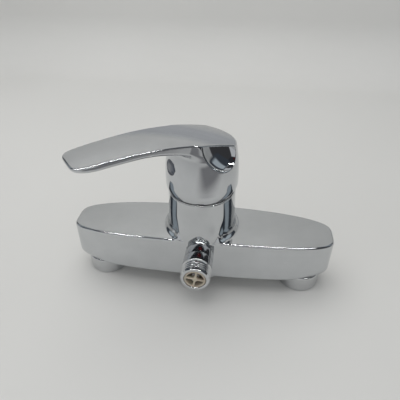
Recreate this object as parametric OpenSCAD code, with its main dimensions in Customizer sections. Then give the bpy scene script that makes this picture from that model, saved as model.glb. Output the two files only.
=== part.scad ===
// Wall-mounted single-lever shower mixer, lying on its back on its two inlet nuts.
// Millimetres. The origin is midway between the inlets in the plane of the union nuts' end
// faces, which is the wall side. +Z runs out from the wall along the neck, +X along the bar
// and -Y points the way the hose outlet faces, which is down once the mixer is on its wall.

/* [Body bar] */
// Length of the bar over its rounded ends
body_length = 189.4; // [180:0.1:200]
// Depth of the bar at its middle, front to back
body_mid_depth = 45; // [42:0.5:50]
// Depth that the bar tapers towards at its ends
body_end_depth = 36.7; // [32:0.1:42]
// Squareness of the rounded bar ends
body_end_power = 4.2; // [2.5:0.1:6]
// Height of the bar's top face at the neck
body_top = 46.6; // [44:0.1:50]
// Fall of the crowned top face from the neck to the ends
body_crown = 2.6; // [0:0.1:4]
// Height of the bar's underside
body_bottom = 14; // [14:0.1:16]
// Radius of the bar's lower end corners
body_corner = 7; // [4:0.5:10]

/* [Inlets] */
// Distance between the two inlet axes
inlet_pitch = 150; // [150:1:153]
// Outer radius of a union nut
nut_radius = 15.5; // [15:0.1:17]
// Height of a union nut
nut_height = 13.2; // [12:0.1:13.4]
// Major radius of the G3/4 thread in a union nut
nut_thread_radius = 13.2; // [13:0.05:13.3]
// Radius of the nipple's shank, which the nut turns on
shank_radius = 10.5; // [10.48:0.01:10.6]

/* [Neck] */
// Outer radius of the neck at its top
neck_radius = 23.2; // [22.8:0.1:24]
// Outer radius of the neck at its foot
neck_foot_radius = 23.8; // [23.4:0.1:25]
// Height of the neck's top face
neck_top = 77.6; // [76:0.1:78]
// Radius of the bore that holds the cartridge
cartridge_bore = 20.3; // [20.2:0.1:20.5]
// Height of the seat at the bottom of the cartridge bore
seat_height = 44; // [43:0.5:45]

/* [Outlet] */
// Height of the hose outlet's axis
outlet_height = 27.5; // [26:0.1:29]
// Distance from the neck axis to the outlet's end face
outlet_reach = 39.7; // [38:0.1:43]
// Major radius of the G1/2 outlet thread
outlet_thread_radius = 10.48; // [10.4:0.01:10.5]
// Length of the G1/2 outlet thread
outlet_thread_length = 7; // [6:0.5:8]

/* [Handle] */
// Angle of the lever from the outlet direction in the stored pose
lever_angle = 51; // [0:1:52]
// Distance from the neck axis to the lever's tip
lever_reach = 86; // [80:0.1:95]
// Greatest half width of the lever
lever_half_width = 17.2; // [15:0.1:18]
// Height of the lever's top line at its highest point
lever_peak = 124.8; // [122:0.1:127]
// Distance of that highest point from the neck axis
lever_peak_at = 52; // [45:1:60]
// Thickness of the lever blade
blade_thickness = 5.6; // [5:0.1:7]
// Largest outer radius of the handle's cap
cap_radius = 24.6; // [24.4:0.1:25]
// Outer radius of the cap at its lower rim
cap_rim_radius = 23.6; // [23.5:0.1:24]
// Height of the cap's lower rim
cap_rim = 79; // [78.8:0.1:79.5]
// Inner radius of the cap's skirt
skirt_bore = 22.7; // [22.6:0.1:22.8]
// Slope that lifts the rear half of the rim clear of the neck
rim_relief = 0.15; // [0.13:0.01:0.2]

/* [Cartridge] */
// Height of the stem's pivot pin
pivot_height = 70; // [69:0.5:70]
// Outer radius of the cartridge
cartridge_radius = 20; // [19.8:0.1:20.1]
// Width of the square stem
stem_width = 8; // [7:0.5:8]
// Radius of the spherical dome around the pivot
dome_radius = 23.6; // [23.2:0.1:23.7]

/* [Hidden] */
$fn = 96;

chrome = "silver";
brass = "goldenrod";
rubber = "dimgray";
eps = 0.01;

body_half = body_length / 2;
bar_steps = 80;
crown_steps = 24;
corner_steps = 8;

inlet_x = inlet_pitch / 2;
tail_radius = 10.48;
socket_radius = 10.55;
socket_top = 27;
nut_lip_height = 2.2;
nut_thread_depth = 6;
nut_recess_radius = 12.9;
washer_thickness = 2;
washer_bottom = 6;
flange_radius = 12;
flange_bottom = washer_bottom + washer_thickness;
flange_thickness = 2.9;
filter_seat_radius = 8.5;
filter_height = 4.5;

front_y = body_mid_depth / 2;
thread_zone_radius = 21.2;
thread_zone_bottom = 66;
port_radius = 4;
inlet_port_x = 9.5;
inlet_port_y = -6;
outlet_port_y = 7;
ports = [[-inlet_port_x, inlet_port_y], [inlet_port_x, inlet_port_y], [0, outlet_port_y]];
ring_groove_radius = 6.2;
peg_places = [[-13.5, 9.5], [13.5, 9.5]];
peg_radius = 2;
feed_height = 40;
feed_radius = 3;
gallery_height = 30;
gallery_radius = 9.5;
gallery_spread = 7;
gallery_inner = 15;
outlet_tail_radius = 8.2;
outlet_tail_length = 14;
outlet_passage_radius = 5;

valve_radius = 7.7;
valve_length = 12.5;
valve_seat_radius = 4.4;
poppet_radius = 5.6;
poppet_stem_radius = 1;
poppet_lift = 3;
spoke_width = 1.7;
grille_thickness = 2;
hub_radius = 2;
hub_length = 5.8;
spring_wire = 0.3;
spring_radius = 2.6;
spring_turns = 7;

base_bottom = seat_height + 0.25;
base_top = 50;
fixed_bottom = 50.3;
fixed_top = 55.3;
moving_bottom = 55.35;
moving_top = 59.8;
driver_top = 62.2;
housing_shoulder = 66;
housing_top = 73.6;
carrier_radius = 13.25;
carrier_top = 79;
pin_radius = 2;
ball_height = 61.5;

lever_turn = -90 - lever_angle;
blade_end_start = 66;
blade_end_power = 5.3;
blade_end_root = 4.5;
blade_taper = 0.066;
blade_widest = 8;
rise_radius = 422;
fall_radius = 900;
cap_widest_height = 88;
cap_barrel = 240;
plug_height = 100.5;
plug_radius = 5;
screw_radius = 2.5;
boss_radius = 7.5;

// Half the depth of the bar's outline at a share of the way round it, from 0 to 360 degrees.
function bar_outline_point(a) =
    let (u = pow(abs(cos(a)), 2 / body_end_power), v = pow(abs(sin(a)), 2 / body_end_power))
    let (half = (body_mid_depth + (body_end_depth - body_mid_depth) * u * u) / 2)
    [sign(cos(a)) * u * body_half, sign(sin(a)) * v * half];

function arc(centre, r, from, to, steps) =
    [for (i = [0:steps]) let (a = from + (to - from) * i / steps)
        [centre[0] + r * cos(a), centre[1] + r * sin(a)]];

function crown_height(x) = body_top - body_crown * pow(x / body_half, 2);

// Height of the lever's top surface along its centre line, s from the neck axis.
function lever_top(s) =
    lever_peak - pow(s - lever_peak_at, 2) / (s < lever_peak_at ? rise_radius : fall_radius);

// Height of the blade's underside. It drops away towards the cap and rises at the tip.
function lever_under(s) =
    lever_top(s) - blade_thickness
    - (s < 36 ? pow((36 - s) / 7, 2) : 0)
    + (s > 72 ? 2.6 * pow((s - 72) / (lever_reach - 72), 2) : 0);

function blade_half_width(s) =
    let (straight = lever_half_width - blade_taper * (s - blade_widest))
    let (end = max(0, (s - blade_end_start) / (lever_reach - blade_end_start)))
    straight * pow(max(0, 1 - pow(end, blade_end_power)), 1 / blade_end_root);

function cap_outer(z) = cap_radius - pow(z - cap_widest_height, 2) / cap_barrel;

module bar_plan(height, bottom) {
    translate([0, 0, bottom])
        linear_extrude(height)
            polygon([for (i = [0:bar_steps - 1]) bar_outline_point(360 * i / bar_steps)]);
}

module bar_side_profile() {
    edge = 1.5;
    top = [for (i = [0:crown_steps])
        let (x = (body_half - edge) * (1 - 2 * i / crown_steps)) [x, crown_height(x)]];
    end_top = crown_height(body_half - edge) - edge;
    left = [[-body_half, end_top]];
    low_left = arc([-body_half + body_corner, body_bottom + body_corner], body_corner,
                   180, 270, corner_steps);
    low_right = arc([body_half - body_corner, body_bottom + body_corner], body_corner,
                    270, 360, corner_steps);
    right = [[body_half, end_top]];
    polygon(concat(top, left, low_left, low_right, right));
}

module bar() {
    intersection() {
        bar_plan(40, 10);
        translate([0, body_mid_depth / 2 + 1, 0])
            rotate([90, 0, 0])
                linear_extrude(body_mid_depth + 2) bar_side_profile();
    }
}

module neck() {
    foot = body_top - 6;
    rotate_extrude()
        polygon([
            [0, foot], [front_y - 0.3, foot], [front_y - 0.3, body_top + 0.3],
            [neck_foot_radius, body_top + 9], [neck_radius, neck_top - 0.6],
            [neck_radius - 0.6, neck_top], [0, neck_top]
        ]);
    intersection() {
        translate([-40, 1.5 - front_y, foot]) cube([80, body_mid_depth - 3, 20]);
        translate([0, 0, body_top - 3]) cylinder(h = 8.2, r1 = front_y + 8.3, r2 = front_y + 0.4);
    }
}

// One straight water gallery along the bar, from beside the neck to an inlet, with the
// feed and the port that lead from it to the cartridge seat.
module gallery(side) {
    for (dy = [-gallery_spread, gallery_spread])
        translate([side * gallery_inner, dy, gallery_height])
            rotate([0, side * 90, 0]) cylinder(h = inlet_x - gallery_inner, r = gallery_radius);
    translate([side > 0 ? gallery_inner : -inlet_x, -gallery_spread,
               gallery_height - gallery_radius])
        cube([inlet_x - gallery_inner, 2 * gallery_spread, 2 * gallery_radius]);
    translate([side * inlet_port_x, inlet_port_y, feed_height]) {
        rotate([0, side * 90, 0]) cylinder(h = 11, r = feed_radius);
        cylinder(h = 8, r = port_radius);
    }
}

module mixer_body() {
    color(chrome)
    difference() {
        union() {
            bar();
            neck();
        }
        translate([0, 0, seat_height]) cylinder(h = 40, r = cartridge_bore);
        translate([0, 0, thread_zone_bottom]) cylinder(h = 20, r = thread_zone_radius);
        for (side = [-1, 1]) {
            gallery(side);
            translate([side * inlet_x, 0, 0]) cylinder(h = socket_top, r = socket_radius);
        }
        translate([0, outlet_port_y, outlet_height]) cylinder(h = 20, r = port_radius);
        for (place = peg_places)
            translate([place[0], place[1], seat_height - 3]) cylinder(h = 5, r = peg_radius + 0.1);
        translate([0, -front_y - 1, outlet_height]) rotate([-90, 0, 0]) {
            cylinder(h = outlet_tail_length + 2, r = outlet_tail_radius);
            cylinder(h = front_y + outlet_port_y + 3.5, r = outlet_passage_radius);
        }
    }
}

// Threaded tail, groove for the seal, shank for the union nut and end flange.
module inlet_nipple(side) {
    color(brass)
    translate([side * inlet_x, 0, 0])
        rotate_extrude()
            polygon([
                [7, flange_bottom + filter_height], [filter_seat_radius, flange_bottom + filter_height],
                [filter_seat_radius, flange_bottom], [flange_radius, flange_bottom],
                [flange_radius, flange_bottom + flange_thickness],
                [shank_radius, flange_bottom + flange_thickness], [shank_radius, body_bottom + 1.2],
                [9.1, body_bottom + 1.2], [9.1, body_bottom + 3.2], [tail_radius, body_bottom + 3.2],
                [tail_radius, socket_top - 1.6], [tail_radius - 0.6, socket_top - 1],
                [7, socket_top - 1]
            ]);
}

module inlet_o_ring(side) {
    color(rubber)
    translate([side * inlet_x, 0, body_bottom + 2.2])
        rotate_extrude() translate([9.8, 0]) circle(r = 0.68);
}

// Smooth round nut with a lip at its top that hangs on the nipple's flange.
module union_nut(side) {
    chamfer = 1.2;
    color(chrome)
    translate([side * inlet_x, 0, 0])
        rotate_extrude()
            polygon([
                [nut_thread_radius, 0], [nut_radius - chamfer, 0], [nut_radius, chamfer],
                [nut_radius, nut_height - chamfer], [nut_radius - chamfer, nut_height],
                [shank_radius + 0.06, nut_height],
                [shank_radius + 0.06, nut_height - nut_lip_height],
                [nut_recess_radius, nut_height - nut_lip_height],
                [nut_recess_radius, nut_thread_depth], [nut_thread_radius, nut_thread_depth]
            ]);
}

module union_washer(side) {
    color(rubber)
    translate([side * inlet_x, 0, washer_bottom])
        difference() {
            cylinder(h = washer_thickness - eps, r = flange_radius);
            translate([0, 0, -1]) cylinder(h = washer_thickness + 2, r = filter_seat_radius + 0.1);
        }
}

// Cup-shaped strainer with a perforated floor.
module inlet_filter(side) {
    color("gray")
    translate([side * inlet_x, 0, flange_bottom])
        difference() {
            cylinder(h = filter_height - eps, r = filter_seat_radius - 0.05);
            translate([0, 0, 0.8]) cylinder(h = filter_height, r = 7.3);
            for (ring = [0, 1, 2])
                for (i = [0:max(1, 6 * ring) - 1])
                    rotate([0, 0, 360 * i / max(1, 6 * ring)])
                        translate([2.5 * ring, 0, -1]) cylinder(h = 3, r = 0.8);
        }
}

module seal_rings(height, major, minor) {
    for (place = ports)
        translate([place[0], place[1], height])
            rotate_extrude() translate([major, 0]) circle(r = minor);
}

module base_seal_rings() {
    color("black") seal_rings(seat_height + 0.81, 5.3, 0.8);
}

module cartridge_base() {
    color("white")
    difference() {
        union() {
            translate([0, 0, base_bottom])
                cylinder(h = base_top - base_bottom, r = cartridge_radius - 0.1);
            for (place = peg_places)
                translate([place[0], place[1], seat_height - 2.6]) cylinder(h = 5, r = peg_radius);
        }
        for (place = ports)
            translate([place[0], place[1], 0]) {
                translate([0, 0, base_bottom - 1]) cylinder(h = 9, r = port_radius);
                translate([0, 0, base_bottom - 1]) cylinder(h = 2.4, r = ring_groove_radius);
                translate([0, 0, base_top - 1.2]) cylinder(h = 2, r = ring_groove_radius);
            }
    }
}

module disc_seal_rings() {
    color("black") seal_rings(base_top - 0.45, 5.3, 0.74);
}

module fixed_ceramic_disc() {
    color("white")
    difference() {
        translate([0, 0, fixed_bottom]) cylinder(h = fixed_top - fixed_bottom, r = 16.9);
        for (place = ports)
            translate([place[0], place[1], fixed_bottom - 1]) cylinder(h = 8, r = port_radius);
    }
}

// Its blind recess joins the outlet port to the inlet ports once the disc has slid forward.
module moving_ceramic_disc() {
    color("lightgray")
    rotate([0, 0, lever_turn])
    difference() {
        translate([0, 0, moving_bottom]) cylinder(h = moving_top - moving_bottom, r = 13.9);
        translate([0, 0, moving_bottom - 1]) cylinder(h = 3.2, r = 7.1);
        translate([-4.5, 0, moving_bottom - 1]) cylinder(h = 3.2, r = 5.5);
        for (t = [-9.5, 9.5])
            translate([0, t, moving_top - 1.4]) cylinder(h = 2, r = 1.6);
    }
}

// Plate that the stem's ball pushes along; its pegs carry the moving disc with it.
module disc_driver() {
    color("dimgray")
    rotate([0, 0, lever_turn])
    difference() {
        union() {
            translate([0, 0, moving_top]) cylinder(h = driver_top - moving_top, r = 13);
            for (t = [-9.5, 9.5])
                translate([0, t, moving_top - 1.3]) cylinder(h = 2, r = 1.5);
        }
        translate([0, 0, moving_top - 1]) cylinder(h = 5, r = 3.6);
    }
}

module cartridge_housing() {
    color("whitesmoke")
    rotate_extrude()
        polygon([
            [17.2, base_top], [cartridge_radius, base_top], [cartridge_radius, housing_shoulder],
            [15.6, housing_shoulder], [15.6, housing_top], [carrier_radius + 0.05, housing_top],
            [carrier_radius + 0.05, 65.2], [17.2, 65.2]
        ]);
}

// Turning part of the cartridge: it holds the pivot pin and lets the stem rock in a slot.
module spindle_carrier() {
    slot = stem_width + 0.6;
    color("steelblue")
    rotate([0, 0, lever_turn])
    difference() {
        rotate_extrude()
            polygon([
                [0, driver_top + 0.4], [16.8, driver_top + 0.4], [16.8, 64.9],
                [carrier_radius, 64.9], [carrier_radius, 69.2], [12.3, 69.2], [12.3, 71],
                [carrier_radius, 71], [carrier_radius, 74.5], [11.5, 74.5],
                [11.5, carrier_top], [0, carrier_top]
            ]);
        translate([0, 0, 60]) cylinder(h = 6.5, r = 6.7);
        translate([-9.6, -slot / 2, 65]) cube([15, slot, 20]);
        translate([0, -12, pivot_height]) rotate([-90, 0, 0]) cylinder(h = 24, r = pin_radius);
    }
}

module spindle_o_ring() {
    color("black")
    translate([0, 0, 70.1]) rotate_extrude() translate([12.78, 0]) circle(r = 0.45);
}

module pivot_pin() {
    color("lightgray")
    rotate([0, 0, lever_turn])
        translate([0, -11.9, pivot_height])
            rotate([-90, 0, 0]) cylinder(h = 23.8, r = pin_radius - eps);
}

// Square rod with an eye for the pivot pin and a ball that drives the moving disc.
module stem() {
    color("gold")
    rotate([0, 0, lever_turn])
    difference() {
        union() {
            translate([-stem_width / 2, -stem_width / 2, 74]) cube([stem_width, stem_width, 32]);
            translate([0, -4, pivot_height]) rotate([-90, 0, 0]) cylinder(h = 8, r = 4.4);
            translate([-3.2, -4, pivot_height]) cube([6.4, 8, 5]);
            translate([0, 0, ball_height]) cylinder(h = 6, r = 2.4);
            translate([0, 0, ball_height]) sphere(r = 3.2);
        }
        translate([-5, -5, ball_height - 5]) cube([10, 10, 4]);
        translate([0, -6, pivot_height])
            rotate([-90, 0, 0]) cylinder(h = 12, r = pin_radius + 0.04);
    }
}

// Threaded ring that presses the cartridge down, with slots in its top for a pin spanner.
module clamp_nut() {
    color(brass)
    difference() {
        union() {
            translate([0, 0, housing_shoulder]) cylinder(h = 7, r = thread_zone_radius - 0.1);
            translate([0, 0, housing_shoulder + 6]) cylinder(h = 5.2, r = 18.9);
        }
        translate([0, 0, housing_shoulder - 1]) cylinder(h = 14, r = 15.9);
        for (a = [0:60:300])
            rotate([0, 0, a]) translate([14, -1.6, 75]) cube([6, 3.2, 4]);
    }
}

// Spherical cover around the stem's pivot, with a thin ring that sits on the neck.
module dome_cover() {
    color(chrome)
    difference() {
        union() {
            intersection() {
                translate([0, 0, pivot_height]) sphere(r = dome_radius);
                translate([0, 0, neck_top]) cylinder(h = 8.6, r = 30);
            }
            translate([0, 0, neck_top]) cylinder(h = 0.6, r = neck_radius - 0.1);
            translate([0, 0, 73.4]) cylinder(h = 5, r = 21);
        }
        translate([0, 0, 73]) cylinder(h = 5, r = 19.1);
        intersection() {
            translate([0, 0, pivot_height]) sphere(r = dome_radius - 1.6);
            translate([0, 0, 77.9]) cylinder(h = 12, r = 30);
        }
    }
}

module cap_shell() {
    rim_edge = 84.5;
    sides = [for (z = [rim_edge:2.5:127]) [cap_outer(z), z]];
    intersection() {
        rotate_extrude()
            polygon(concat([[0, cap_rim], [cap_rim_radius, cap_rim],
                            [cap_rim_radius + 0.7, cap_rim + 2.6]], sides, [[0, 127]]));
        lever_side(-26, 26, false);
    }
}

// Side view of the lever between two places, as deep as the blade or right down to the rim.
module lever_side(from, to, thin) {
    tops = [for (s = [to:-2:from]) [s, lever_top(s)]];
    unders = [for (s = [from:2:to]) [s, lever_under(s)]];
    translate([0, 30, 0])
        rotate([90, 0, 0])
            linear_extrude(60)
                polygon(thin ? concat(tops, unders) : concat(tops, [[from, 70], [to, 70]]));
}

module blade() {
    start = 8;
    places = [for (i = [0:30]) let (e = 1 - pow(1 - i / 30, 1.7)) start + (lever_reach - start) * e];
    near = [for (s = places) [s, blade_half_width(s)]];
    far = [for (i = [30:-1:0]) [places[i], -blade_half_width(places[i])]];
    intersection() {
        translate([0, 0, 80]) linear_extrude(60) polygon(concat(near, far));
        lever_side(start, 88, true);
    }
}

// Flared hollow cut into each side of the cap, widest under the lever's top face.
module side_scoop(side) {
    apex = [25.07, 100.7];
    flare = 28;
    translate([0, side * apex[0], apex[1]])
        rotate([-side * 41.3, 0, 0]) cylinder(h = flare, r1 = 2.5, r2 = 2.5 + flare * 2.41);
}

module cap_cavity() {
    translate([0, 0, cap_rim - 5]) cylinder(h = 20, r = skirt_bore);
    translate([0, 0, 93]) cylinder(h = 9, r = 19.5);
    translate([0, 0, 101]) cylinder(h = 6, r = 16.5);
    translate([0, 0, 106]) cylinder(h = 4.5, r = 12.5);
}

module rim_relief_cut() {
    start = 8;
    translate([start, -30, cap_rim])
        rotate([0, atan(rim_relief), 0]) translate([-60, 0, -10]) cube([60, 60, 10]);
}

module handle() {
    socket = stem_width + 0.04;
    color(chrome)
    rotate([0, 0, lever_turn])
    difference() {
        union() {
            difference() {
                union() {
                    cap_shell();
                    blade();
                }
                for (side = [-1, 1]) side_scoop(side);
                cap_cavity();
                rim_relief_cut();
            }
            translate([0, 0, 89]) cylinder(h = 22, r = boss_radius);
            translate([0, 0, plug_height]) rotate([0, 90, 0]) cylinder(h = 21, r = 5.4);
        }
        translate([-socket / 2, -socket / 2, 85]) cube([socket, socket, 21.5]);
        translate([0, 0, plug_height]) rotate([0, 90, 0]) cylinder(h = 24, r = screw_radius + eps);
        translate([20.4, 0, plug_height]) rotate([0, 90, 0]) cylinder(h = 6, r = plug_radius + 0.1);
    }
}

// Socket-head grub screw that clamps the handle to the stem.
module handle_screw() {
    color("gray")
    rotate([0, 0, lever_turn])
    translate([stem_width / 2, 0, plug_height])
        rotate([0, 90, 0])
            difference() {
                cylinder(h = 13, r = screw_radius);
                translate([0, 0, 9.5]) cylinder(h = 5, r = 1.45, $fn = 6);
            }
}

module index_plug() {
    color("slateblue")
    rotate([0, 0, lever_turn])
    translate([20.6, 0, plug_height])
        rotate([0, 90, 0])
            difference() {
                cylinder(h = 3.4, r = plug_radius);
                translate([0, 0, -1]) cylinder(h = 2.6, r = plug_radius - 1.2);
            }
}

// Screwed-in tail, plain collar, thread run-out groove and hose thread.
module outlet_nipple() {
    color(chrome)
    translate([0, -front_y, outlet_height])
        rotate([90, 0, 0]) {
            reach = outlet_reach - front_y;
            thread_start = reach - outlet_thread_length - 0.8;
            rotate_extrude()
                polygon([
                    [6, -outlet_tail_length], [outlet_tail_radius - 0.05, -outlet_tail_length],
                    [outlet_tail_radius - 0.05, -3.4], [6.9, -3.4], [6.9, -1.6],
                    [outlet_tail_radius - 0.05, -1.6], [outlet_tail_radius - 0.05, 0],
                    [10.7, 0.05], [10.7, thread_start - 2], [10, thread_start - 1.4],
                    [10, thread_start], [outlet_thread_radius, thread_start],
                    [outlet_thread_radius, reach - 0.8], [9.7, reach], [valve_radius + 0.05, reach],
                    [valve_radius + 0.05, reach - valve_length], [6, reach - valve_length]
                ]);
        }
}

module outlet_o_ring() {
    color("black")
    translate([0, -front_y, outlet_height])
        rotate([90, 0, 0]) translate([0, 0, -2.5])
            rotate_extrude() translate([7.54, 0]) circle(r = 0.6);
}

// Ivory cage of the non-return valve, whose four-spoke grille closes the outlet's mouth.
module check_valve_cage() {
    color("ivory")
    translate([0, -outlet_reach, outlet_height])
        rotate([-90, 0, 0]) {
            difference() {
                translate([0, 0, 0.2]) cylinder(h = valve_length - 0.3, r = valve_radius);
                translate([0, 0, grille_thickness]) cylinder(h = 8.6, r = valve_radius - 1.3);
                translate([0, 0, -1]) cylinder(h = 4, r = valve_radius - 1.3);
                translate([0, 0, 5]) cylinder(h = 12, r = valve_seat_radius);
                translate([0, 0, 7.5])
                    rotate_extrude() translate([valve_radius, 0]) circle(r = 0.6);
            }
            difference() {
                union() {
                    translate([0, 0, 0.2]) cylinder(h = hub_length, r = hub_radius);
                    for (a = [10, 100])
                        rotate([0, 0, a])
                            translate([-valve_radius + 0.6, -spoke_width / 2, 0.2])
                                cube([2 * valve_radius - 1.2, spoke_width, grille_thickness]);
                }
                translate([0, 0, 1.4]) cylinder(h = 6, r = poppet_stem_radius + 0.08);
            }
        }
}

module check_valve_o_ring() {
    color("black")
    translate([0, -outlet_reach, outlet_height])
        rotate([-90, 0, 0]) translate([0, 0, 7.5])
            rotate_extrude() translate([valve_radius - 0.2, 0]) circle(r = 0.24);
}

module check_valve_poppet() {
    color("orange")
    translate([0, -outlet_reach, outlet_height])
        rotate([-90, 0, 0]) {
            translate([0, 0, 9.2]) cylinder(h = 1.3, r = poppet_radius);
            translate([0, 0, 4.6]) cylinder(h = 5, r = poppet_stem_radius);
            translate([0, 0, 10.4]) cylinder(h = 1.4, r1 = valve_seat_radius - 0.3, r2 = 2.4);
        }
}

// Closed rings at the coil's pitch stand for the coil between the grille and the poppet.
module check_valve_spring() {
    first = 0.2 + grille_thickness + spring_wire + 0.03;
    last = 9.2 - spring_wire - 0.03;
    pitch = (last - first) / (spring_turns - 1);
    color("lightgray")
    translate([0, -outlet_reach, outlet_height])
        rotate([-90, 0, 0])
            for (i = [0:spring_turns - 1])
                translate([0, 0, first + i * pitch])
                    rotate_extrude() translate([spring_radius, 0]) circle(r = spring_wire);
}

mixer_body();
inlet_nipple(-1);  // inlet_nipple_left
inlet_nipple(1);  // inlet_nipple_right
inlet_o_ring(-1);  // inlet_o_ring_left
inlet_o_ring(1);  // inlet_o_ring_right
union_nut(-1);  // union_nut_left
union_nut(1);  // union_nut_right
union_washer(-1);  // union_washer_left
union_washer(1);  // union_washer_right
inlet_filter(-1);  // inlet_filter_left
inlet_filter(1);  // inlet_filter_right
base_seal_rings();
cartridge_base();
disc_seal_rings();
fixed_ceramic_disc();
moving_ceramic_disc();
disc_driver();
cartridge_housing();
spindle_carrier();
spindle_o_ring();
pivot_pin();
stem();
clamp_nut();
dome_cover();
handle();
handle_screw();
index_plug();
outlet_nipple();
outlet_o_ring();
check_valve_cage();
check_valve_o_ring();
check_valve_poppet();
check_valve_spring();
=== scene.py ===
import math

import bmesh
import bpy
import numpy as np
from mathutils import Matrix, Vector


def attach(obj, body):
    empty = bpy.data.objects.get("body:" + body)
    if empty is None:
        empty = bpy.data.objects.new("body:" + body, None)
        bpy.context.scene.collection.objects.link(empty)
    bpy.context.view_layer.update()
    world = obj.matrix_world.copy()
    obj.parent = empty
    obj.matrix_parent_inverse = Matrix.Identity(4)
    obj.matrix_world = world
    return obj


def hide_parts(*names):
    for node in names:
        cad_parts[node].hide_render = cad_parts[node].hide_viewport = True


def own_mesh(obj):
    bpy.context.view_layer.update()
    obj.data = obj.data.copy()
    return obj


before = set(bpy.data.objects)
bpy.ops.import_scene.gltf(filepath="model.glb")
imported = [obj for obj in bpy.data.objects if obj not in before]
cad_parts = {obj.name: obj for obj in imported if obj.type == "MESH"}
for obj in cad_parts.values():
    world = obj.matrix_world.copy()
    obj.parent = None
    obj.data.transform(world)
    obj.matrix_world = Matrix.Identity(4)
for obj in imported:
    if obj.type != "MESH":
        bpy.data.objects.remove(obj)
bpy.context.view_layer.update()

# ---------------------------------------------------------------- sizes, in millimetres
MM = 0.001
CELL = 0.62
SMALL_CELL = 0.22

# Bar: half its length, half its depth in the middle and near the ends, and the squareness of its
# outline. The crown is how far its top falls from the middle to the ends. Its lower edge is
# rounded more from FOOT_SPAN's first distance along the bar to its second.
BAR_HALF = 94.7
BAR_MID = 22.5
BAR_END = 18.35
BAR_POWER = 4.2
BAR_TOP = 46.6
BAR_CROWN = 2.6
BAR_LOW = 14.0
BAR_EDGE = 1.7
FOOT_EDGE, FOOT_MORE, FOOT_SPAN = 1.6, 5.0, (62, 90)
INLET_X = 75.0

# Neck: its front leans out towards the top, and its sides swell over the bar and taper to the
# dome, each between two heights. Its front and back are flat below the first of FLAT_HEIGHTS.
# Turns are angles from the Y axis. CLIP_MORE keeps the fillet behind the bar's long faces.
NECK_TOP = 77.6
NECK_LEAN, LEAN_HEIGHTS = 0.65, (56, 78)
NECK_SWELL, SWELL_HEIGHTS = 1.1, (41, 55)
NECK_TAPER, TAPER_HEIGHTS = 0.45, (58, 78)
ASIDE_TURNS = (0.2, 1.0)
FLAT_HEIGHTS = (46.5, 66)
FLAT_TURNS = (math.radians(16), math.radians(46))
NECK_FILLET, FILLET_HEIGHTS, FLUSH_DEPTHS = 6.0, (43, 47.5), (-9, -2.5)
CLIP_MORE, CLIP_HEIGHTS = 1.4, (48, 77)

# Bores and waterways of the casting.
CARTRIDGE_R, CARTRIDGE_FLOOR = 20.3, 44
CLAMP_R, CLAMP_FLOOR = 21.2, 66
SOCKET_R, SOCKET_TOP = 10.55, 27
GALLERY_R, GALLERY_Z, GALLERY_START, GALLERY_HALF = 9.5, 30, 15, 7
OUTLET_BORE_R, OUTLET_BORE_END = 8.2, -8.5

DOME_Z = 70
DOME_OUTER_R = 23.6
DOME_INNER_R = 22.0

# Outlet and check valve. Heights inside the outlet run inward from its end face.
THREAD_PITCH = 1.814
THREAD_STEP = 0.1
NUT_THREAD_DEPTH = 1.0
OUTLET_Z = 27.5
OUTLET_END = 39.7
THREAD_CREST = 10.48
THREAD_ROOT = 9.4
THREAD_LENGTH = 7.8
CAGE_R, CAGE_HALF_WALL = 6.85, 0.6
CAGE_LENGTH = 12.4
VALVE_SEAT_R, VALVE_SEAT_HALF, VALVE_SEAT_START = 6.0, 1.6, 10.6
SPOKE_ANGLE = math.radians(10)
SPOKE_HALF, SPOKE_REACH = 0.7, 7.2
HUB_R, HUB_END = 1.9, 5.8
GUIDE_R, GUIDE_START = 1.08, 1.4
SPRING_SEAT = 2.2
SPRING_R = 2.6
SPRING_WIRE = 0.3
SPRING_TURNS = 6.5
POPPET_FACE = 9.2
SLIM_GAP = 0.03

# Lever: the crest is the height of its top's two long edges, and the middle stands CREST_CROWN
# above it. It is highest at CREST_S, and falls by the square of the distance from there, divided
# by CREST_REAR on the cap's side and by CREST_AHEAD towards the tip.
LEVER_ANGLE = math.radians(51)
LEVER_REACH = 85.9
CREST_Z = 124.0
CREST_S = 52
CREST_REAR, CREST_AHEAD = 422.0, 900.0
CREST_CROWN, CROWN_HALF = 0.8, 17.0

# Blade: it narrows from BLADE_ROOT on and ends in a curve from BLADE_END on. It gets thicker over
# ROOT_SPAN towards the cap and thinner over TIP_SPAN towards the tip, and is dished underneath.
BLADE_HALF = 17.1
BLADE_TAPER = 0.066
BLADE_ROOT = 8
BLADE_END = 66.0
BLADE_START = 2
TIP_POWER, SIDE_POWER = 5.3, 4.5
BLADE_THICK = 5.3
ROOT_MORE, ROOT_S, ROOT_SPAN = 0.8, 50, 15
TIP_LESS, TIP_S, TIP_SPAN = 2.5, 70, 16
DISH, DISH_HALF = 0.5, 12

# Cap: a barrel that draws in above SHOULDER_Z and below FOOT_Z, with a little relief in its rim
# on the side away from the lever. CAP_STEPS are pairs of a radius and a ceiling inside it.
# SIDE_CUT is the direction, across and up, that the plane on each side faces.
CAP_R = 24.58
SHOULDER_Z, SHOULDER_WIDTH = 88, 240
FOOT_Z, FOOT_DRAW, FOOT_HEIGHT = 85.5, 1.2, 6.5
CAP_RIM = 79.0
RIM_RELIEF, RELIEF_S = 0.15, 8
PLATE_HALF, PLATE_LIFT = 17.4, 0.4
SIDE_CUT = (0.928, 0.371)
BOWL_S, BOWL_DOWN, BOWL_TOP = -1.0, 4.0, -1.5
BOWL_HALF = (12.6, 13.6, 4.6)
CAP_STEPS = ((22.7, 94), (19.5, 102), (16.5, 107), (12.5, 110.5))
STEM_BOSS_R, STEM_BOSS_LOW = 7.5, 89
SCREW_WEB_R = 5.4
PLUG_Z = 100.5
PLUG_HOLE_R = 5.1
PLUG_SEAT = 20.4

ALONG = np.array([-math.sin(LEVER_ANGLE), -math.cos(LEVER_ANGLE)])
ACROSS = np.array([math.cos(LEVER_ANGLE), -math.sin(LEVER_ANGLE)])


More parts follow.
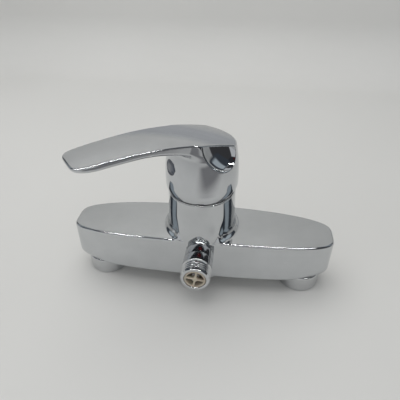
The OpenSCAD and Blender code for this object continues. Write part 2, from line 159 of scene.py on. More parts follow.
# ---------------------------------------------------------------- distance fields
def both(a, b, r):
    """Intersection of two fields with its outer edge rounded to radius r."""
    return np.minimum(-r, np.maximum(a, b)) + np.hypot(np.maximum(a + r, 0), np.maximum(b + r, 0))


def either(a, b, r):
    """Union of two fields with its inner corner filled to radius r."""
    return -both(-a, -b, r)


def smoothstep(v, low, high):
    """0 below low and 1 above high, with a smooth rise between."""
    t = np.clip((v - low) / (high - low), 0, 1)
    return t * t * (3 - 2 * t)


def bar_plan(x, y):
    """Distance to the bar's outline seen from above, and its outward direction."""
    u = np.abs(x) / BAR_HALF
    half = BAR_MID + (BAR_END - BAR_MID) * u ** 2
    v = np.abs(y) / half
    slope = 2 * (BAR_END - BAR_MID) * u / BAR_HALF
    n = BAR_POWER
    size = np.maximum(u ** n + v ** n, 1e-9)
    whole = size ** (1 / n)
    part = size ** (1 / n - 1)
    gx = part * (u ** (n - 1) / BAR_HALF - v ** n * slope / half)
    gy = part * v ** (n - 1) / half
    length = np.maximum(np.hypot(gx, gy), 1e-6)
    return (whole - 1) / length, np.sign(x) * gx / length, np.sign(y) * gy / length


def neck_field(x, y, z):
    """The round neck, flattened front and back where it runs down into the bar's long faces."""
    turned = np.arctan2(np.abs(x), np.abs(y))
    ahead = NECK_LEAN * smoothstep(z, *LEAN_HEIGHTS)
    aside = NECK_SWELL * smoothstep(z, *SWELL_HEIGHTS) - NECK_TAPER * smoothstep(z, *TAPER_HEIGHTS)
    round_r = BAR_MID + ahead + (aside - ahead) * smoothstep(turned, *ASIDE_TURNS)
    flat_r = BAR_MID / np.cos(np.minimum(turned, 1.0))
    share = (1 - smoothstep(z, *FLAT_HEIGHTS)) * (1 - smoothstep(turned, *FLAT_TURNS))
    return np.hypot(x, y) - round_r - (flat_r - round_r) * share


def body_field(p):
    """The bar and the neck with their waterways: x along the bar, y to the back, z up."""
    x, y, z = p.T
    side, nx, ny = bar_plan(x, y)
    top = z - BAR_TOP + BAR_CROWN * (x / BAR_HALF) ** 2
    bar = both(side, top, BAR_EDGE)
    bar = both(bar, BAR_LOW - z, FOOT_EDGE + FOOT_MORE * smoothstep(np.abs(x), *FOOT_SPAN))
    neck = both(neck_field(x, y, z), z - NECK_TOP, 0.5)

    # The fillet dies out where the neck's face runs on into the bar's long face.
    mx = neck_field(x + 0.05, y, z) - neck_field(x - 0.05, y, z)
    my = neck_field(x, y + 0.05, z) - neck_field(x, y - 0.05, z)
    length = np.maximum(np.hypot(mx, my), 1e-6)
    flush = smoothstep(side, *FLUSH_DEPTHS) * (nx * mx + ny * my) / length
    fillet = NECK_FILLET * smoothstep(1 - flush, 0, 0.3) * smoothstep(z, *FILLET_HEIGHTS)
    d = either(bar, neck, fillet)
    d = np.maximum(d, np.abs(y) - BAR_MID - CLIP_MORE * smoothstep(z, *CLIP_HEIGHTS))

    r = np.maximum(np.hypot(x, y), 1e-6)
    bore = np.minimum(np.maximum(r - CARTRIDGE_R, CARTRIDGE_FLOOR - z),
                      np.maximum(r - CLAMP_R, CLAMP_FLOOR - z))
    socket = np.maximum(np.hypot(np.abs(x) - INLET_X, y) - SOCKET_R, z - SOCKET_TOP)
    gallery = np.hypot(np.maximum(np.abs(y) - GALLERY_HALF, 0), z - GALLERY_Z) - GALLERY_R
    gallery = np.maximum(gallery, np.maximum(GALLERY_START - np.abs(x), np.abs(x) - INLET_X))
    outlet = np.maximum(np.hypot(x, z - OUTLET_Z) - OUTLET_BORE_R, y - OUTLET_BORE_END)
    hole = np.minimum(np.minimum(bore, socket), np.minimum(gallery, outlet))
    return np.maximum(d, -hole)


def lever_crest(s):
    """Height of the crest at s along the lever."""
    return CREST_Z - (s - CREST_S) ** 2 / np.where(s < CREST_S, CREST_REAR, CREST_AHEAD)


def ellipsoid(a, b, c, half):
    """Distance to an ellipsoid, near enough close to its surface."""
    near = np.sqrt((a / half[0]) ** 2 + (b / half[1]) ** 2 + (c / half[2]) ** 2)
    slope = np.sqrt((a / half[0] ** 2) ** 2 + (b / half[1] ** 2) ** 2 + (c / half[2] ** 2) ** 2)
    return near * (near - 1) / np.maximum(slope, 1e-6)


def lever_top(s, t, z):
    """Distance above the lever's crowned top."""
    rise = z - lever_crest(s) - CREST_CROWN * (1 - (t / CROWN_HALF) ** 2)
    tilt = 2 * (CREST_S - s) / np.where(s < CREST_S, CREST_REAR, CREST_AHEAD)
    return rise / np.sqrt(1 + tilt ** 2)


def cap_barrel(s, r, z):
    """The cap's round outside, open upwards."""
    shoulder = np.maximum(z - SHOULDER_Z, 0) ** 2 / SHOULDER_WIDTH
    foot = FOOT_DRAW * (np.maximum(FOOT_Z - z, 0) / FOOT_HEIGHT) ** 2
    rim = CAP_RIM + RIM_RELIEF * np.maximum(RELIEF_S - s, 0) - z
    return both(r - (CAP_R - shoulder - foot), rim, 0.5)


def blade(s, t, z):
    """The blade's outline seen from above, over its curved underside."""
    straight = BLADE_HALF - BLADE_TAPER * (s - BLADE_ROOT)
    end = LEVER_REACH - BLADE_END
    u = np.clip((s - BLADE_END) / end, 0, 1.4)
    v = np.abs(t) / straight
    g = u ** TIP_POWER + v ** SIDE_POWER - 1
    gs = TIP_POWER * u ** (TIP_POWER - 1) / end
    gs += SIDE_POWER * v ** SIDE_POWER * BLADE_TAPER / straight
    gt = SIDE_POWER * v ** (SIDE_POWER - 1) / straight
    outline = np.maximum(g / np.maximum(np.hypot(gs, gt), 1e-4), -12)
    outline = np.maximum(outline, BLADE_START - s)
    thick = BLADE_THICK + ROOT_MORE * (np.maximum(ROOT_S - s, 0) / ROOT_SPAN) ** 2
    thick -= TIP_LESS * (np.maximum(s - TIP_S, 0) / TIP_SPAN) ** 2
    under = lever_crest(s) + CREST_CROWN - thick + DISH * (t / DISH_HALF) ** 2 - z
    return both(outline, under, 1.9)


def cap_inside(s, t, r, z):
    """The room in the cap, in steps, less the stem's boss and the web for the grub screw."""
    hollow = np.min([np.maximum(r - radius, z - ceiling) for radius, ceiling in CAP_STEPS], axis=0)
    boss = np.maximum(r - STEM_BOSS_R, STEM_BOSS_LOW - z)
    web = np.maximum(np.hypot(t, z - PLUG_Z) - SCREW_WEB_R, -s)
    return np.maximum(hollow, -np.minimum(boss, web))


def handle_field(p):
    """The handle in its own frame: s along the lever, t across it, z up."""
    s, t, z = p.T
    r = np.maximum(np.hypot(s, t), 1e-6)
    d = either(cap_barrel(s, r, z), blade(s, t, z), 4.0)

    # A leaning plane cuts each side of the cap, and a shallow bowl is sunk in each cut.
    beside, above = np.abs(t) - PLATE_HALF, z - lever_crest(s) - PLATE_LIFT
    outward = SIDE_CUT[0] * beside + SIDE_CUT[1] * above
    downward = SIDE_CUT[1] * beside - SIDE_CUT[0] * above
    d = both(d, outward, 0.6)
    d = both(d, lever_top(s, t, z), 1.0)
    bowl = ellipsoid(s - BOWL_S, downward - BOWL_DOWN, outward, BOWL_HALF)
    d = both(d, -both(bowl, above - BOWL_TOP, 0.5), 0.45)

    plug_hole = np.maximum(np.hypot(t, z - PLUG_Z) - PLUG_HOLE_R, PLUG_SEAT - s)
    return np.maximum(np.maximum(d, -cap_inside(s, t, r, z)), -plug_hole)


def cage_field(p):
    """The check valve's cage: z runs inward from the outlet's end face."""
    x, y, z = p.T
    r = np.hypot(x, y)
    slab = both(z - SPRING_SEAT, 0.35 - z, 0.3)
    ring = both(np.abs(r - CAGE_R) - CAGE_HALF_WALL, both(z - CAGE_LENGTH, 0.2 - z, 0.3), 0.3)
    seat = both(np.abs(r - VALVE_SEAT_R) - VALVE_SEAT_HALF,
                both(z - CAGE_LENGTH, VALVE_SEAT_START - z, 0.2), 0.2)
    along = np.abs(x * math.cos(SPOKE_ANGLE) + y * math.sin(SPOKE_ANGLE))
    over = np.abs(y * math.cos(SPOKE_ANGLE) - x * math.sin(SPOKE_ANGLE))
    bars = both(np.minimum(along, over) - SPOKE_HALF, r - SPOKE_REACH, 0.1)
    hub = both(r - HUB_R, both(z - HUB_END, 0.1 - z, 0.5), 0.4)
    grille = both(either(bars, r - HUB_R, 0.7), slab, 0.35)
    d = either(grille, ring, 0.7)
    d = np.minimum(np.minimum(d, hub), seat)
    return np.maximum(d, -np.maximum(r - GUIDE_R, GUIDE_START - z))


# ---------------------------------------------------------------- meshes
def direction_of(field, p, h=0.02):
    """A field's gradient at each point."""
    g = np.empty_like(p)
    for i in range(3):
        step = np.zeros(3)
        step[i] = h
        g[:, i] = (field(p + step) - field(p - step)) / (2 * h)
    return g


def skin(field, low, high, cell):
    """Surface of a field as quads whose corners lie on it, with the field's own normals.

    Each grid cell that the surface crosses gets one corner, at the mean of the crossings, and
    each crossed grid edge gets one quad. The corners are then drawn onto the surface.
    """
    low, high = np.array(low, float), np.array(high, float)
    n = np.ceil((high - low) / cell).astype(int) + 1
    ticks = [low[i] + cell * np.arange(n[i]) for i in range(3)]
    grid = np.stack(np.meshgrid(*ticks, indexing="ij"), -1)
    value = field(grid.reshape(-1, 3)).reshape(n)
    inside = value < 0
    total = np.zeros((*(n - 1), 3))
    count = np.zeros(n - 1)
    for axis in range(3):
        v = np.moveaxis(value, axis, 0)
        a, b = v[:-1], v[1:]
        crossed = (a < 0) != (b < 0)
        t = np.where(crossed, a / np.where(crossed, a - b, 1), 0)
        g = np.moveaxis(grid, axis, 0)[:-1]
        place = g.copy()
        place[..., axis] += t * cell
        c, s = np.moveaxis(count, axis, 0), np.moveaxis(total, axis, 0)
        for i in (0, 1):
            for j in (0, 1):
                rows = slice(i, crossed.shape[1] - 1 + i)
                columns = slice(j, crossed.shape[2] - 1 + j)
                c += crossed[:, rows, columns]
                s += np.where(crossed[:, rows, columns, None], place[:, rows, columns], 0)
    live = count > 0
    number = np.full(live.shape, -1)
    number[live] = np.arange(live.sum())
    points = total[live] / count[live][:, None]
    quads = []
    for axis in range(3):
        order = [axis, (axis + 1) % 3, (axis + 2) % 3]
        ins, num = inside.transpose(order), number.transpose(order)
        i, j, k = np.nonzero(ins[:-1, 1:-1, 1:-1] != ins[1:, 1:-1, 1:-1])
        j, k = j + 1, k + 1
        q = np.stack([num[i, j - 1, k - 1], num[i, j, k - 1], num[i, j, k], num[i, j - 1, k]], 1)
        q = np.where(ins[i, j, k][:, None], q, q[:, ::-1])
        quads.append(q)
    for _ in range(4):
        g = direction_of(field, points)
        size = np.maximum((g ** 2).sum(1), 1e-3)
        move = field(points)[:, None] * g / size[:, None]
        length = np.maximum(np.linalg.norm(move, axis=1, keepdims=True), 1e-9)
        points -= move * np.minimum(1, 0.5 * cell / length)
    g = direction_of(field, points)
    normals = g / np.maximum(np.linalg.norm(g, axis=1, keepdims=True), 1e-6)
    return points, np.concatenate(quads), normals


def rounded(corners):
    """A profile from (r, z) or (r, z, radius) corners, with each radius turned into an arc."""
    out = []
    count = len(corners)
    for i, c in enumerate(corners):
        here = np.array(c[:2], float)
        radius = c[2] if len(c) > 2 else 0
        if not radius:
            out.append(here)
            continue
        before = np.array(corners[i - 1][:2], float) - here
        after = np.array(corners[(i + 1) % count][:2], float) - here
        before, after = before / np.linalg.norm(before), after / np.linalg.norm(after)
        half = math.acos(np.clip(before @ after, -1, 1)) / 2
        reach = radius / math.tan(half)
        middle = (before + after) / np.linalg.norm(before + after)
        centre = here + middle * radius / math.sin(half)
        start, end = here + before * reach - centre, here + after * reach - centre
        a0 = math.atan2(start[1], start[0])
        turn = (math.atan2(end[1], end[0]) - a0 + math.pi) % (2 * math.pi) - math.pi
        steps = max(3, int(abs(turn) / math.radians(12)))
        for k in range(steps + 1):
            a = a0 + turn * k / steps
            out.append(centre + radius * np.array([math.cos(a), math.sin(a)]))
    return out


def finer(profile, step, low, high):
    """Adds points to the stretches of a profile that run between two heights."""
    out = []
    for a, b in zip(profile, profile[1:] + profile[:1]):
        out.append(a)
        rise = abs(a[1] - b[1])
        if min(a[1], b[1]) >= low - 1e-6 and max(a[1], b[1]) <= high + 1e-6 and rise > step:
            count = int(rise / step)
            out += [a + (b - a) * k / count for k in range(1, count)]
    return out


def revolve(profile, segments, shape=None):
    """A closed ring profile, or one that starts and ends on the axis, turned about z."""
    poled = profile[0][0] == 0 and profile[-1][0] == 0
    rows = profile[1:-1] if poled else profile
    rz = np.array(rows, float)
    a = 2 * math.pi * np.arange(segments) / segments
    r = np.repeat(rz[:, :1], segments, 1)
    z = np.repeat(rz[:, 1:], segments, 1)
    if shape is not None:
        r = shape(r, z, a[None, :])
    points = np.stack([r * np.cos(a), r * np.sin(a), z], -1).reshape(-1, 3)
    faces = []
    count = len(rows)
    for i in range(count - 1 if poled else count):
        j = (i + 1) % count
        for k in range(segments):
            m = (k + 1) % segments
            faces.append((i * segments + k, i * segments + m, j * segments + m, j * segments + k))
    if poled:
        first, last = len(points), len(points) + 1
        points = np.vstack([points, [[0, 0, profile[0][1]], [0, 0, profile[-1][1]]]])
        for k in range(segments):
            m = (k + 1) % segments
            faces.append((first, m, k))
            faces.append((last, (count - 1) * segments + k, (count - 1) * segments + m))
    return points, faces


def coil(radius, wire, turns, low, high, around=10, per_turn=28):
    """A round wire wound about z between two heights, its end turns closer together."""
    count = int(turns * per_turn)
    t = np.linspace(0, 1, count + 1)
    a = 2 * math.pi * turns * t
    share = t - 0.35 * np.sin(2 * math.pi * t) / (2 * math.pi)
    height = low + wire + (high - low - 2 * wire) * share
    b = 2 * math.pi * np.arange(around) / around
    r = radius + wire * np.cos(b)[None, :]
    z = height[:, None] + wire * np.sin(b)[None, :]
    points = np.stack([r * np.cos(a)[:, None], r * np.sin(a)[:, None], z], -1).reshape(-1, 3)
    faces = [tuple(range(around)), tuple(range(count * around, (count + 1) * around))]
    for i in range(count):
        for k in range(around):
            m = (k + 1) % around
            faces.append((i * around + k, i * around + m, (i + 1) * around + m, (i + 1) * around + k))
    return points, faces


def lay_upright(p, centre):
    """Local z stays upright."""
    return p + np.array(centre)


def lay_outward(p, centre):
    """Local z turned to point along -Y."""
    return np.stack([p[:, 0], -p[:, 2], p[:, 1]], 1) + np.array(centre)


def lay_inward(p, centre):
    """Local z turned to point along +Y."""
    return np.stack([-p[:, 0], p[:, 2], p[:, 1]], 1) + np.array(centre)


def lay_lever(p):
    """From the lever's own frame to the part's."""
    xy = p[:, :1] * ALONG + p[:, 1:2] * ACROSS
    return np.column_stack([xy, p[:, 2]])


def lay_plug(p, centre_s, centre_z):
    """Local z turned to point out along the lever's direction."""
    return lay_lever(np.stack([centre_s + p[:, 2], p[:, 0], centre_z + p[:, 1]], 1))


def piece(name, body, nodes, points, faces, material, normals=None, sharp=35):
    """Adds a visible piece that rides on a body and stands for the named CAD nodes."""
    mesh = bpy.data.meshes.new(name)
    if isinstance(faces, np.ndarray):
        faces = faces.tolist()
    mesh.from_pydata((np.asarray(points) * MM).tolist(), [], faces)
    mesh.polygons.foreach_set("use_smooth", [True] * len(mesh.polygons))
    if normals is not None:
        mesh.normals_split_custom_set_from_vertices(normals.tolist())
    else:
        solid = bmesh.new()
        solid.from_mesh(mesh)
        bmesh.ops.recalc_face_normals(solid, faces=solid.faces)
        solid.to_mesh(mesh)
        solid.free()
        mesh.set_sharp_from_angle(angle=math.radians(sharp))
    mesh.materials.append(material)
    obj = bpy.data.objects.new(name, mesh)
    bpy.context.scene.collection.objects.link(obj)
    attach(obj, body)
    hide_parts(*nodes)
    return obj


# ---------------------------------------------------------------- materials
class Maker:
    """Builds one procedural material in the part's own coordinates."""

    def __init__(self, name):
        self.material = bpy.data.materials.new(name)
        self.material.use_nodes = True
        self.tree = self.material.node_tree
        self.shader = self.tree.nodes["Principled BSDF"]
        self.place = self.tree.nodes.new("ShaderNodeTexCoord").outputs["Object"]

    def noise(self, scale, detail=3.0, rough=0.5):
        node = self.tree.nodes.new("ShaderNodeTexNoise")
        node.inputs["Scale"].default_value = scale
        node.inputs["Detail"].default_value = detail
        node.inputs["Roughness"].default_value = rough
        self.tree.links.new(self.place, node.inputs["Vector"])
        return node.outputs["Fac"]

    def between(self, fac, low, high, out_low, out_high):
        """Maps low..high smoothly onto out_low..out_high."""
        node = self.tree.nodes.new("ShaderNodeMapRange")
        node.interpolation_type = "SMOOTHSTEP"
        ends = {"From Min": low, "From Max": high, "To Min": out_low, "To Max": out_high}
        for key, v in ends.items():
            node.inputs[key].default_value = v
        self.tree.links.new(fac, node.inputs["Value"])
        return node.outputs["Result"]

    def colours(self, fac, *stops):
        """A colour ramp from (position, colour) stops."""
        node = self.tree.nodes.new("ShaderNodeValToRGB")
        ramp = node.color_ramp
        while len(ramp.elements) < len(stops):
            ramp.elements.new(0.5)
        for element, (at, colour) in zip(ramp.elements, stops):
            element.position = at
            element.color = (*colour, 1)
        self.tree.links.new(fac, node.inputs["Fac"])
        return node.outputs["Color"]

    def bump(self, height, strength, distance, onto=None):
        node = self.tree.nodes.new("ShaderNodeBump")
        node.inputs["Strength"].default_value = strength
        node.inputs["Distance"].default_value = distance
        self.tree.links.new(height, node.inputs["Height"])
        if onto is not None:
            self.tree.links.new(onto, node.inputs["Normal"])
        return node.outputs["Normal"]

    def set(self, **inputs):
        """Gives the shader's inputs a constant or a link, and returns the material."""
        for key, v in inputs.items():
            socket = self.shader.inputs[key.replace("_", " ")]
            if isinstance(v, bpy.types.NodeSocket):
                self.tree.links.new(v, socket)
            else:
                socket.default_value = v
        return self.material


def chrome(name, tint, rough=0.045, wave=0.25):
    """Plated chrome: slightly smeared, with the faint waves of a polished casting."""
    m = Maker(name)
    smear = m.noise(38, 5, 0.6)
    dark = tuple(0.93 * c for c in tint)
    base = m.colours(smear, (0.35, dark), (0.62, tint))
    gloss = m.between(smear, 0.38, 0.7, rough * 0.7, rough * 1.7)
    flow = m.bump(m.noise(42, 1.5, 0.4), wave, 0.0006)
    grain = m.bump(m.noise(900, 2, 0.6), 0.05, 0.00005, flow)
    return m.set(Base_Color=base, Metallic=1.0, Roughness=gloss, Normal=grain)


def metal(name, dark, light, rough):
    """Bare turned metal."""
    m = Maker(name)
    base = m.colours(m.noise(90, 4), (0.35, dark), (0.65, light))
    tooling = m.noise(300, 3, 0.6)
    gloss = m.between(tooling, 0.3, 0.7, rough * 0.8, rough * 1.3)
    return m.set(Base_Color=base, Metallic=1.0, Roughness=gloss, Normal=m.bump(tooling, 0.2, 0.00008))


def moulded(name, dark, light, rough, scatter=0.0, grain=0.12):
    """Moulded plastic, rubber or fired ceramic."""
    m = Maker(name)
    base = m.colours(m.noise(160, 4), (0.35, dark), (0.65, light))
    gloss = m.between(m.noise(500, 3), 0.3, 0.7, rough * 0.85, rough * 1.2)
    m.set(Base_Color=base, Roughness=gloss, Normal=m.bump(m.noise(1400, 2), grain, 0.00006))
    if scatter:
        m.set(Subsurface_Weight=scatter, Subsurface_Scale=0.001)
    return m.material


CHROME = chrome("polished_chrome", (0.60, 0.615, 0.63))
CHROME_LEVER = chrome("lever_chrome", (0.60, 0.615, 0.635), rough=0.05)
CHROME_TRIM = chrome("trim_chrome", (0.62, 0.63, 0.64), rough=0.05, wave=0.1)
BRASS = metal("turned_brass", (0.55, 0.38, 0.14), (0.72, 0.53, 0.24), 0.28)
STEEL = metal("plain_steel", (0.38, 0.38, 0.39), (0.55, 0.55, 0.56), 0.3)
WHITE_PLASTIC = moulded("cartridge_plastic", (0.70, 0.69, 0.65), (0.78, 0.77, 0.73), 0.42)
BLUE_PLASTIC = moulded("spindle_plastic", (0.05, 0.13, 0.26), (0.07, 0.17, 0.32), 0.4)
DARK_PLASTIC = moulded("driver_plastic", (0.03, 0.03, 0.035), (0.05, 0.05, 0.055), 0.45)
CERAMIC = moulded("lapped_ceramic", (0.78, 0.77, 0.74), (0.85, 0.84, 0.81), 0.18, grain=0.03)
IVORY = moulded("ivory_plastic", (0.42, 0.36, 0.28), (0.53, 0.47, 0.38), 0.4, scatter=0.1)
POPPET = moulded("poppet_plastic", (0.07, 0.05, 0.035), (0.11, 0.08, 0.06), 0.45)
PLUG = moulded("index_plastic", (0.10, 0.115, 0.15), (0.17, 0.18, 0.21), 0.14, grain=0.05)
RUBBER = moulded("seal_rubber", (0.012, 0.012, 0.012), (0.025, 0.025, 0.025), 0.55, grain=0.3)
WASHER = moulded("washer_rubber", (0.02, 0.02, 0.022), (0.045, 0.045, 0.048), 0.7, grain=0.5)

CAD_LOOKS = {
    "inlet_o_ring_left": RUBBER, "inlet_o_ring_right": RUBBER, "base_seal_rings": RUBBER,
    "disc_seal_rings": RUBBER, "spindle_o_ring": RUBBER, "outlet_o_ring": RUBBER,
    "check_valve_o_ring": RUBBER, "inlet_filter_left": STEEL, "inlet_filter_right": STEEL,
    "pivot_pin": STEEL, "handle_screw": STEEL, "stem": BRASS, "clamp_nut": BRASS,
    "cartridge_base": WHITE_PLASTIC, "cartridge_housing": WHITE_PLASTIC,
    "spindle_carrier": BLUE_PLASTIC, "disc_driver": DARK_PLASTIC,
    "fixed_ceramic_disc": CERAMIC, "moving_ceramic_disc": CERAMIC,
    "mixer_body": CHROME, "handle": CHROME_LEVER, "dome_cover": CHROME_TRIM,
    "union_nut_left": CHROME_TRIM, "union_nut_right": CHROME_TRIM, "outlet_nipple": CHROME_TRIM,
    "inlet_nipple_left": BRASS, "inlet_nipple_right": BRASS, "index_plug": PLUG,
    "union_washer_left": WASHER, "union_washer_right": WASHER, "check_valve_cage": IVORY,
    "check_valve_poppet": POPPET, "check_valve_spring": STEEL,
}
for node, look in CAD_LOOKS.items():
    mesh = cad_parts[node].data
    mesh.materials.clear()
    mesh.materials.append(look)

# ---------------------------------------------------------------- body
points, faces, normals = skin(body_field, (-95.6, -24.6, 13.2), (95.6, 24.6, 78.4), CELL)
piece("body_casting", "mixer", ["mixer_body"], points, faces, CHROME, normals)


# ---------------------------------------------------------------- neck ring and dome
def dome_arc(radius, start, end):
    """Points on the dome's section between two angles in degrees."""
    angles = np.radians(np.linspace(start, end, 14))
    return [(math.cos(a) * radius, DOME_Z + math.sin(a) * radius) for a in angles]


outline = rounded([
    (19.1, 73.4), (21.0, 73.4), (21.0, NECK_TOP), (23.1, NECK_TOP, 0.15), (23.1, 78.2, 0.2),
    *dome_arc(DOME_OUTER_R, 20.8, 43.2), *dome_arc(DOME_INNER_R, 47.0, 21.5), (19.1, 77.9),
])
points, faces = revolve(outline, 160)
piece("neck_dome", "mixer", ["dome_cover"], points, faces, CHROME_TRIM)

# ---------------------------------------------------------------- inlets
nut_outline = rounded([
    (13.2, 0), (15.5, 0, 1.3), (15.5, 13.2, 1.3), (10.56, 13.2, 0.3), (10.56, 11.0),
    (12.9, 11.0), (12.9, 6.0), (13.2, 6.0),
])
nut_outline = finer(nut_outline, THREAD_STEP, 0, 6)
nipple_outline = rounded([
    (7, 12.5), (8.5, 12.5), (8.5, 8.0, 0.2), (12.0, 8.0, 0.4), (12.0, 10.9, 0.4), (10.5, 10.9),
    (10.5, 15.2), (9.1, 15.2), (9.1, 17.2), (10.48, 17.2), (10.48, 25.4), (9.88, 26.0), (7, 26.0),
])
washer_outline = rounded([(8.6, 6.0, 0.25), (12.0, 6.0, 0.25), (12.0, 7.99, 0.25), (8.6, 7.99, 0.25)])


def nut_thread(r, z, a):
    """Raises the union nut's thread from its plain bore."""
    inner = (r > 13.0) & (r < 13.4) & (z > 0.4) & (z < 5.9)
    phase = (z / THREAD_PITCH - a / (2 * math.pi)) % 1
    ridge = smoothstep(np.abs(phase - 0.5), 0.08, 0.42)
    return r - np.where(inner, NUT_THREAD_DEPTH * ridge * smoothstep(z, 0.3, 1.6), 0)


for side, label in ((-1, "left"), (1, "right")):
    inlet = (side * INLET_X, 0, 0)
    points, faces = revolve(nut_outline, 144, nut_thread)
    piece(f"nut_{label}", f"{label}_union_nut", [f"union_nut_{label}"],
          lay_upright(points, inlet), faces, CHROME_TRIM)
    points, faces = revolve(nipple_outline, 128)
    piece(f"nipple_{label}", "mixer", [f"inlet_nipple_{label}"],
          lay_upright(points, inlet), faces, BRASS)
    points, faces = revolve(washer_outline, 128)
    piece(f"washer_{label}", "mixer", [f"union_washer_{label}"],
          lay_upright(points, inlet), faces, WASHER)

# ---------------------------------------------------------------- hose outlet
REACH = OUTLET_END - BAR_MID
THREAD_START = REACH - THREAD_LENGTH
OUTLET_MOUTH = (0, -OUTLET_END, OUTLET_Z)
stub = rounded([
    (6, -14), (8.15, -14), (8.15, -3.4), (6.9, -3.4), (6.9, -1.6), (8.15, -1.6), (8.15, 0.02),
    (10.7, 0.05, 0.25), (10.7, THREAD_START - 2, 0.3), (9.6, THREAD_START - 1.4),
    (9.6, THREAD_START - 0.2), (THREAD_CREST, THREAD_START), (THREAD_CREST, REACH - 1.6, 0.6),
    (9.7, REACH, 0.6), (7.95, REACH, 0.15), (7.75, REACH - 0.3), (7.75, REACH - 12.5),
    (6, REACH - 12.5),
])
stub = finer(stub, THREAD_STEP, THREAD_START, REACH)


def hose_thread(r, z, a):
    """Cuts the hose thread into the stub, running out before the end face."""
    outer = (r > 9.7) & (z > THREAD_START - 0.1) & (z < REACH - 1.0)
    phase = (z / THREAD_PITCH - a / (2 * math.pi)) % 1
    depth = (THREAD_CREST - THREAD_ROOT) * smoothstep(np.abs(phase - 0.5), 0.06, 0.44)
    fade = smoothstep(REACH - 1.0 - z, 0, 0.7)
    return np.where(outer, np.minimum(r, THREAD_CREST - depth * fade), r)


points, faces = revolve(stub, 192, hose_thread)
piece("outlet_stub", "mixer", ["outlet_nipple"],
      lay_outward(points, (0, -BAR_MID, OUTLET_Z)), faces, CHROME_TRIM, sharp=42)

points, faces, normals = skin(cage_field, (-8, -8, -0.2), (8, 8, 12.8), SMALL_CELL)
piece("valve_cage", "mixer", ["check_valve_cage"],
      lay_inward(points, OUTLET_MOUTH), faces, IVORY, lay_inward(normals, (0, 0, 0)))

poppet = rounded([
    (0, 4.6), (1.0, 4.6, 0.3), (1.0, POPPET_FACE, 0.1), (5.6, POPPET_FACE, 0.3), (5.6, 10.5, 0.2),
    (4.1, 10.5), (2.4, 11.8, 0.5), (0, 11.8),
])
points, faces = revolve(poppet, 96)
piece("valve_poppet", "check_valve", ["check_valve_poppet"],
      lay_inward(points, OUTLET_MOUTH), faces, POPPET)

points, faces = coil(SPRING_R, SPRING_WIRE, SPRING_TURNS,
                     SPRING_SEAT + SLIM_GAP, POPPET_FACE - SLIM_GAP)
spring = piece("valve_spring", "mixer", ["check_valve_spring"],
               lay_inward(points, OUTLET_MOUTH), faces, STEEL)
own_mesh(spring)

# ---------------------------------------------------------------- handle
points, faces, normals = skin(handle_field, (-25.6, -25.6, 78.2), (88.2, 25.6, 126.2), CELL * 0.9)
piece("lever_handle", "lever", ["handle"], lay_lever(points), faces, CHROME_LEVER, lay_lever(normals))

plug_outline = rounded([
    (0, 0.4), (3.8, 0.4), (3.8, 0), (5.0, 0, 0.2), (5.0, 3.1, 0.45), (4.3, 3.1, 0.15),
    (4.1, 2.7, 0.1), (3.8, 2.7, 0.1), (3.6, 3.15, 0.2), (2.0, 3.38), (0, 3.4),
])
points, faces = revolve(plug_outline, 96)
piece("plug", "lever", ["index_plug"], lay_plug(points, 20.6, PLUG_Z), faces, PLUG)


# ---------------------------------------------------------------- stage, light and camera
def stand(obj, place, aim, front):
    """Puts a stage object at a place, with its front axis turned to a point."""
    bpy.context.scene.collection.objects.link(obj)
    obj.location = place
    obj.rotation_mode = "QUATERNION"
    obj.rotation_quaternion = (Vector(aim) - Vector(place)).to_track_quat(front, "Y")


def glow(name, colour, width, height, soft):
    """An even light for a sheet. It fades to clear over the last soft metres before the edges."""
    material = bpy.data.materials.new(name)
    material.use_nodes = True
    nodes, links = material.node_tree.nodes, material.node_tree.links
    nodes.clear()
    shine, out = nodes.new("ShaderNodeEmission"), nodes.new("ShaderNodeOutputMaterial")
    shine.inputs["Color"].default_value = (*colour, 1)
    last = shine.outputs["Emission"]
    if soft:
        parts = nodes.new("ShaderNodeSeparateXYZ")
        links.new(nodes.new("ShaderNodeTexCoord").outputs["Object"], parts.inputs["Vector"])
        cover = nodes.new("ShaderNodeMath")
        cover.operation = "MULTIPLY"
        for i, (axis, half) in enumerate((("X", width / 2), ("Y", height / 2))):
            size = nodes.new("ShaderNodeMath")
            size.operation = "ABSOLUTE"
            links.new(parts.outputs[axis], size.inputs[0])
            fade = nodes.new("ShaderNodeMapRange")
            fade.interpolation_type = "SMOOTHSTEP"
            ends = (("From Min", half - soft), ("From Max", half), ("To Min", 1.0), ("To Max", 0.0))
            for key, v in ends:
                fade.inputs[key].default_value = v
            links.new(size.outputs[0], fade.inputs["Value"])
            links.new(fade.outputs["Result"], cover.inputs[i])
        clear, mix = nodes.new("ShaderNodeBsdfTransparent"), nodes.new("ShaderNodeMixShader")
        links.new(cover.outputs[0], mix.inputs["Fac"])
        links.new(clear.outputs[0], mix.inputs[1])
        links.new(last, mix.inputs[2])
        last = mix.outputs[0]
    links.new(last, out.inputs["Surface"])
    return material


def card(name, width, height, place, aim, colour, soft=0.0, dots=0):
    """A glowing sheet, or a row of dots if their number is given, that only mirrors see."""
    spans = [(-1.0, 1.0)]
    if dots:
        pitch = 2.0 / dots
        spans = [(-1 + pitch * (i + 0.2), -1 + pitch * (i + 0.8)) for i in range(dots)]
    corners, faces = [], []
    for left, right in spans:
        n = len(corners)
        corners += [(left * width / 2, -height / 2, 0), (right * width / 2, -height / 2, 0),
                    (right * width / 2, height / 2, 0), (left * width / 2, height / 2, 0)]
        faces.append((n, n + 1, n + 2, n + 3))
    mesh = bpy.data.meshes.new(name)
    mesh.from_pydata(corners, [], faces)
    mesh.materials.append(glow(name, colour, width, height, soft))
    obj = bpy.data.objects.new(name, mesh)
    stand(obj, place, aim, "Z")
    obj.visible_camera = False
    obj.visible_diffuse = False
    obj.visible_shadow = False


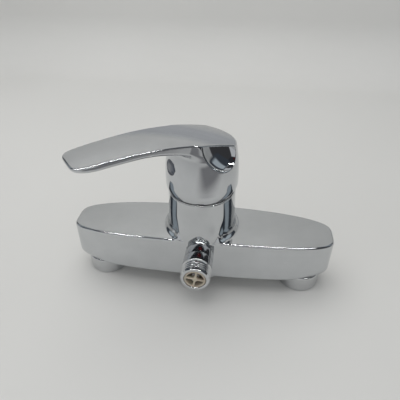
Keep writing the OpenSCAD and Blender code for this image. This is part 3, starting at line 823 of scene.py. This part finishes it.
def sweep():
    """A floor, just under the part, that curves up into a back wall."""
    bend, back, top = 0.09, 0.50, 1.3
    front, half = -12.0, 9.0
    sunk = 0.00002
    line = [(front, 0.0)]
    line += [(back - bend + bend * math.sin(a), bend - bend * math.cos(a))
             for a in np.radians(np.linspace(0, 90, 13))]
    line.append((back, top))
    verts, quads = [], []
    for y, z in line:
        verts += [(-half, y, z - sunk), (half, y, z - sunk)]
    for i in range(len(line) - 1):
        quads.append((2 * i, 2 * i + 1, 2 * i + 3, 2 * i + 2))
    mesh = bpy.data.meshes.new("sweep")
    mesh.from_pydata(verts, [], quads)
    mesh.polygons.foreach_set("use_smooth", [True] * len(mesh.polygons))
    m = Maker("sweep_paint")
    tone = m.colours(m.noise(2.5, 2), (0.3, (0.640, 0.638, 0.622)), (0.7, (0.672, 0.670, 0.655)))
    m.set(Base_Color=tone, Roughness=0.6, Normal=m.bump(m.noise(260, 3), 0.05, 0.0002))
    mesh.materials.append(m.material)
    obj = bpy.data.objects.new("sweep", mesh)
    bpy.context.scene.collection.objects.link(obj)


sweep()

world = bpy.data.worlds.new("room")
bpy.context.scene.world = world
world.use_nodes = True
sky = world.node_tree.nodes["Background"]
sky.inputs["Color"].default_value = (0.95, 0.965, 0.98, 1)
sky.inputs["Strength"].default_value = 0.62

light = bpy.data.lights.new("overhead", "AREA")
light.shape = "RECTANGLE"
light.size, light.size_y = 0.9, 0.7
light.energy = 3.6
light.color = (1.0, 0.99, 0.97)
overhead = bpy.data.objects.new("overhead", light)
stand(overhead, (-0.16, 0.12, 0.80), (-0.04, 0.10, 0), "-Z")
overhead.visible_glossy = False

# The room that the chrome mirrors.
MIDDLE = (0, 0, 0.06)
card("room_front", 1.9, 0.56, (0.04, -0.51, 0.68), MIDDLE, (0.030, 0.032, 0.037), soft=0.07)
card("room_above", 1.5, 0.56, (0.0, -0.16, 0.92), (0, -0.16, 0), (0.05, 0.052, 0.056), soft=0.06)
card("room_right", 0.70, 0.44, (0.56, -0.26, 0.24), (0, 0, 0.11), (0.05, 0.05, 0.053), soft=0.05)
card("shirt", 0.24, 0.12, (0.05, -0.47, 0.47), (0, -0.02, 0.04), (0.09, 0.013, 0.015), soft=0.04)
card("floor_shade", 0.60, 0.44, (0.25, -0.30, 0.004), (0.25, -0.30, 1), (0.22, 0.22, 0.225), soft=0.12)
card("low_wall", 0.9, 0.22, (0.05, 0.47, 0.22), (0.05, 0, 0.22), (0.42, 0.43, 0.44), soft=0.08)
card("led_row", 1.4, 0.04, (0.0, -0.28, 0.68), MIDDLE, (34.0, 34.0, 33.0), dots=100)
for side, label in ((-1, "left"), (1, "right")):
    card(f"side_dark_{label}", 0.70, 0.44, (side * 0.52, 0.02, 0.38), MIDDLE,
         (0.05, 0.058, 0.07), soft=0.05)
    card(f"side_pale_{label}", 0.22, 0.30, (side * 0.44, 0.06, 0.34), MIDDLE,
         (0.42, 0.47, 0.50), soft=0.05)

# The camera looks at the part from the front, a little to the right and from above.
AZ, EL, FAR = math.radians(7.28), math.radians(35.54), 0.2795
target = Vector((-0.00142, 0, 0.06631))
back = Vector((math.sin(AZ) * math.cos(EL), -math.cos(AZ) * math.cos(EL), math.sin(EL)))
camera = bpy.data.objects.new("camera", bpy.data.cameras.new("camera"))
bpy.context.scene.collection.objects.link(camera)
camera.data.sensor_width = 36
camera.data.lens = 35.604
camera.data.clip_start = 0.01
camera.location = target + back * FAR
camera.rotation_mode = "QUATERNION"
camera.rotation_quaternion = (-back).to_track_quat("-Z", "Y")
bpy.context.scene.camera = camera
bpy.context.scene.view_settings.view_transform = "Standard"
